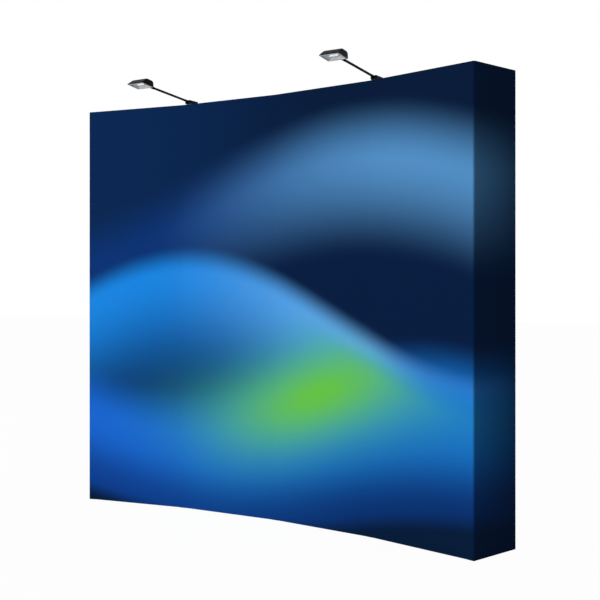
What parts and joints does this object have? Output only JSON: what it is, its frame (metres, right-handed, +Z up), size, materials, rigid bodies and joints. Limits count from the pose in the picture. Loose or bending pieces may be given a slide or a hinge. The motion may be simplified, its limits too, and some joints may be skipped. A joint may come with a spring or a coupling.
{
  "type": "pop up display backwall",
  "caption": "Curved free-standing display wall: printed fabric stretched over a folding scissor frame with side returns and clip-on arm lamps.",
  "frame": {"origin": "middle of the centre front upright's foot, on the floor", "axes": "+X along the wall to the right as a viewer in front of it sees it, +Y back away from that viewer, +Z up"},
  "size_m": [2.566, 0.7534, 2.331],
  "materials": {
    "aluminium": "satin anodised extrusion",
    "tube_aluminium": "bright drawn tube",
    "black_nylon": "matt moulded nylon",
    "grey_nylon": "matt moulded nylon",
    "hook_tape": "hook tape",
    "printed_fabric": "dye-printed matt knit",
    "black_plastic": "fine-grained moulding",
    "black_enamel": "satin black enamel",
    "reflector": "hammered bright aluminium",
    "lamp_glass": "clear toughened glass"
  },
  "bodies": {
    "front_column_centre": {"front_upright_centre": "aluminium", "front_hubs_centre": "black_nylon", "hook_tape_centre": "hook_tape", "graphic_panel_left": "printed_fabric", "graphic_panel_right": "printed_fabric"},
    "front_column_far_left": {"front_upright_far_left": "aluminium", "front_hubs_far_left": "black_nylon", "hook_tape_far_left": "hook_tape", "fabric_return_left": "printed_fabric"},
    "front_column_left": {"front_upright_left": "aluminium", "front_hubs_left": "black_nylon", "hook_tape_left": "hook_tape", "graphic_panel_far_left": "printed_fabric", "lamp_base_left": "black_plastic"},
    "front_column_right": {"front_upright_right": "aluminium", "front_hubs_right": "black_nylon", "hook_tape_right": "hook_tape", "graphic_panel_far_right": "printed_fabric", "lamp_base_right": "black_plastic"},
    "front_column_far_right": {"front_upright_far_right": "aluminium", "front_hubs_far_right": "black_nylon", "hook_tape_far_right": "hook_tape", "fabric_return_right": "printed_fabric"},
    "rear_column_far_left": {"rear_upright_far_left": "aluminium", "rear_hubs_far_left": "black_nylon"},
    "rear_column_left": {"rear_upright_left": "aluminium", "rear_hubs_left": "black_nylon"},
    "rear_column_centre": {"rear_upright_centre": "aluminium", "rear_hubs_centre": "black_nylon"},
    "rear_column_right": {"rear_upright_right": "aluminium", "rear_hubs_right": "black_nylon"},
    "rear_column_far_right": {"rear_upright_far_right": "aluminium", "rear_hubs_far_right": "black_nylon"},
    "front_arms_far_left": {"front_arm_tubes_far_left": "tube_aluminium", "front_arm_joints_far_left": "black_nylon"},
    "rear_arms_far_left": {"rear_arm_tubes_far_left": "tube_aluminium", "rear_arm_joints_far_left": "black_nylon"},
    "front_arms_left": {"front_arm_tubes_left": "tube_aluminium", "front_arm_joints_left": "black_nylon"},
    "rear_arms_left": {"rear_arm_tubes_left": "tube_aluminium", "rear_arm_joints_left": "black_nylon"},
    "front_arms_right": {"front_arm_tubes_right": "tube_aluminium", "front_arm_joints_right": "black_nylon"},
    "rear_arms_right": {"rear_arm_tubes_right": "tube_aluminium", "rear_arm_joints_right": "black_nylon"},
    "front_arms_far_right": {"front_arm_tubes_far_right": "tube_aluminium", "front_arm_joints_far_right": "black_nylon"},
    "rear_arms_far_right": {"rear_arm_tubes_far_right": "tube_aluminium", "rear_arm_joints_far_right": "black_nylon"},
    "lock_bar_left": {"lock_bar_left": "grey_nylon"},
    "lamp_arm_left": {"lamp_arm_left": "black_enamel"},
    "lamp_head_left": {"lamp_housing_left": "black_enamel", "lamp_reflector_left": "reflector", "lamp_glass_left": "lamp_glass"},
    "lock_bar_right": {"lock_bar_right": "grey_nylon"},
    "lamp_arm_right": {"lamp_arm_right": "black_enamel"},
    "lamp_head_right": {"lamp_housing_right": "black_enamel", "lamp_reflector_right": "reflector", "lamp_glass_right": "lamp_glass"}
  },
  "joints": [
    {"name": "frame_fold", "type": "hinge", "parent": "front_column_centre", "child": "front_arms_right", "pos_m": [0.024, 0.0305, 0.07], "axis": [0, 0, 1], "range_deg": [0, 60], "deforming": ["graphic_panel_far_left", "graphic_panel_left", "graphic_panel_right", "graphic_panel_far_right"]},
    {"name": "scissor_cross_right", "type": "hinge", "parent": "front_arms_right", "child": "rear_arms_right", "pos_m": [0.30893, 0.1435, 0.07], "axis": [0, 0, 1], "range_deg": [-120, 0]},
    {"name": "rear_column_turn_centre", "type": "hinge", "parent": "rear_arms_right", "child": "rear_column_centre", "pos_m": [0.024, 0.2565, 0.07], "axis": [0, 0, 1], "range_deg": [0, 60]},
    {"name": "rear_column_turn_right", "type": "hinge", "parent": "front_arms_right", "child": "rear_column_right", "pos_m": [0.60608, 0.21873, 0.07], "axis": [0, 0, 1], "range_deg": [-60, 0]},
    {"name": "front_column_turn_right", "type": "hinge", "parent": "rear_arms_right", "child": "front_column_right", "pos_m": [0.57688, -0.00537, 0.07], "axis": [0, 0, 1], "range_deg": [0, 60]},
    {"name": "front_arms_turn_far_right", "type": "hinge", "parent": "front_column_right", "child": "front_arms_far_right", "pos_m": [0.62447, -0.01158, 0.07], "axis": [0, 0, 1], "range_deg": [0, 60]},
    {"name": "scissor_cross_far_right", "type": "hinge", "parent": "front_arms_far_right", "child": "rear_arms_far_right", "pos_m": [0.92162, 0.06366, 0.07], "axis": [0, 0, 1], "range_deg": [-120, 0]},
    {"name": "rear_column_turn_far_right", "type": "hinge", "parent": "front_arms_far_right", "child": "rear_column_far_right", "pos_m": [1.226, 0.09986, 0.07], "axis": [0, 0, 1], "range_deg": [-60, 0]},
    {"name": "front_column_turn_far_right", "type": "hinge", "parent": "rear_arms_far_right", "child": "front_column_far_right", "pos_m": [1.16808, -0.11859, 0.07], "axis": [0, 0, 1], "range_deg": [0, 60]},
    {"name": "rear_arms_turn_left", "type": "hinge", "parent": "front_column_centre", "child": "rear_arms_left", "pos_m": [-0.024, 0.0305, 0.07], "axis": [0, 0, 1], "range_deg": [-60, 0]},
    {"name": "scissor_cross_left", "type": "hinge", "parent": "rear_arms_left", "child": "front_arms_left", "pos_m": [-0.30893, 0.1435, 0.07], "axis": [0, 0, 1], "range_deg": [0, 120]},
    {"name": "front_column_turn_left", "type": "hinge", "parent": "front_arms_left", "child": "front_column_left", "pos_m": [-0.57688, -0.00537, 0.07], "axis": [0, 0, 1], "range_deg": [-60, 0]},
    {"name": "rear_column_turn_left", "type": "hinge", "parent": "rear_arms_left", "child": "rear_column_left", "pos_m": [-0.60608, 0.21873, 0.07], "axis": [0, 0, 1], "range_deg": [0, 60]},
    {"name": "rear_arms_turn_far_left", "type": "hinge", "parent": "front_column_left", "child": "rear_arms_far_left", "pos_m": [-0.62447, -0.01158, 0.07], "axis": [0, 0, 1], "range_deg": [-60, 0]},
    {"name": "scissor_cross_far_left", "type": "hinge", "parent": "rear_arms_far_left", "child": "front_arms_far_left", "pos_m": [-0.92162, 0.06366, 0.07], "axis": [0, 0, 1], "range_deg": [0, 120]},
    {"name": "front_column_turn_far_left", "type": "hinge", "parent": "front_arms_far_left", "child": "front_column_far_left", "pos_m": [-1.16808, -0.11859, 0.07], "axis": [0, 0, 1], "range_deg": [-60, 0]},
    {"name": "rear_column_turn_far_left", "type": "hinge", "parent": "rear_arms_far_left", "child": "rear_column_far_left", "pos_m": [-1.226, 0.09986, 0.07], "axis": [0, 0, 1], "range_deg": [0, 60]},
    {"name": "lock_bar_lift_left", "type": "hinge", "parent": "front_column_left", "child": "lock_bar_left", "pos_m": [-0.60067, -0.00847, 1.51783], "axis": [0.9916, 0.1292, 0], "range_deg": [0, 80]},
    {"name": "lamp_arm_tilt_left", "type": "hinge", "parent": "front_column_left", "child": "lamp_arm_left", "pos_m": [-0.59808, 0.00426, 2.277], "axis": [-0.9995, -0.0314, 0], "range_deg": [-15, 75]},
    {"name": "lamp_head_tilt_left", "type": "hinge", "parent": "lamp_arm_left", "child": "lamp_head_left", "pos_m": [-0.58744, -0.33448, 2.30427], "axis": [-0.9995, -0.0314, 0], "range_deg": [-60, 45]},
    {"name": "lock_bar_lift_right", "type": "hinge", "parent": "front_column_right", "child": "lock_bar_right", "pos_m": [0.60067, -0.00847, 1.51783], "axis": [0.9916, -0.1292, 0], "range_deg": [0, 80]},
    {"name": "lamp_arm_tilt_right", "type": "hinge", "parent": "front_column_right", "child": "lamp_arm_right", "pos_m": [0.59538, 0.00426, 2.277], "axis": [-0.9995, -0.0314, 0], "range_deg": [-15, 75]},
    {"name": "lamp_head_tilt_right", "type": "hinge", "parent": "lamp_arm_right", "child": "lamp_head_right", "pos_m": [0.60603, -0.33448, 2.30427], "axis": [-0.9995, -0.0314, 0], "range_deg": [-60, 45]}
  ],
  "couplings": [
    {"joint": "scissor_cross_right", "follows": "frame_fold", "ratio": -2},
    {"joint": "rear_column_turn_centre", "follows": "frame_fold", "ratio": 1},
    {"joint": "rear_column_turn_right", "follows": "frame_fold", "ratio": -1},
    {"joint": "front_column_turn_right", "follows": "frame_fold", "ratio": 1},
    {"joint": "front_arms_turn_far_right", "follows": "frame_fold", "ratio": 1},
    {"joint": "scissor_cross_far_right", "follows": "frame_fold", "ratio": -2},
    {"joint": "rear_column_turn_far_right", "follows": "frame_fold", "ratio": -1},
    {"joint": "front_column_turn_far_right", "follows": "frame_fold", "ratio": 1},
    {"joint": "rear_arms_turn_left", "follows": "frame_fold", "ratio": -1},
    {"joint": "scissor_cross_left", "follows": "frame_fold", "ratio": 2},
    {"joint": "front_column_turn_left", "follows": "frame_fold", "ratio": -1},
    {"joint": "rear_column_turn_left", "follows": "frame_fold", "ratio": 1},
    {"joint": "rear_arms_turn_far_left", "follows": "frame_fold", "ratio": -1},
    {"joint": "scissor_cross_far_left", "follows": "frame_fold", "ratio": 2},
    {"joint": "front_column_turn_far_left", "follows": "frame_fold", "ratio": -1},
    {"joint": "rear_column_turn_far_left", "follows": "frame_fold", "ratio": 1}
  ]
}
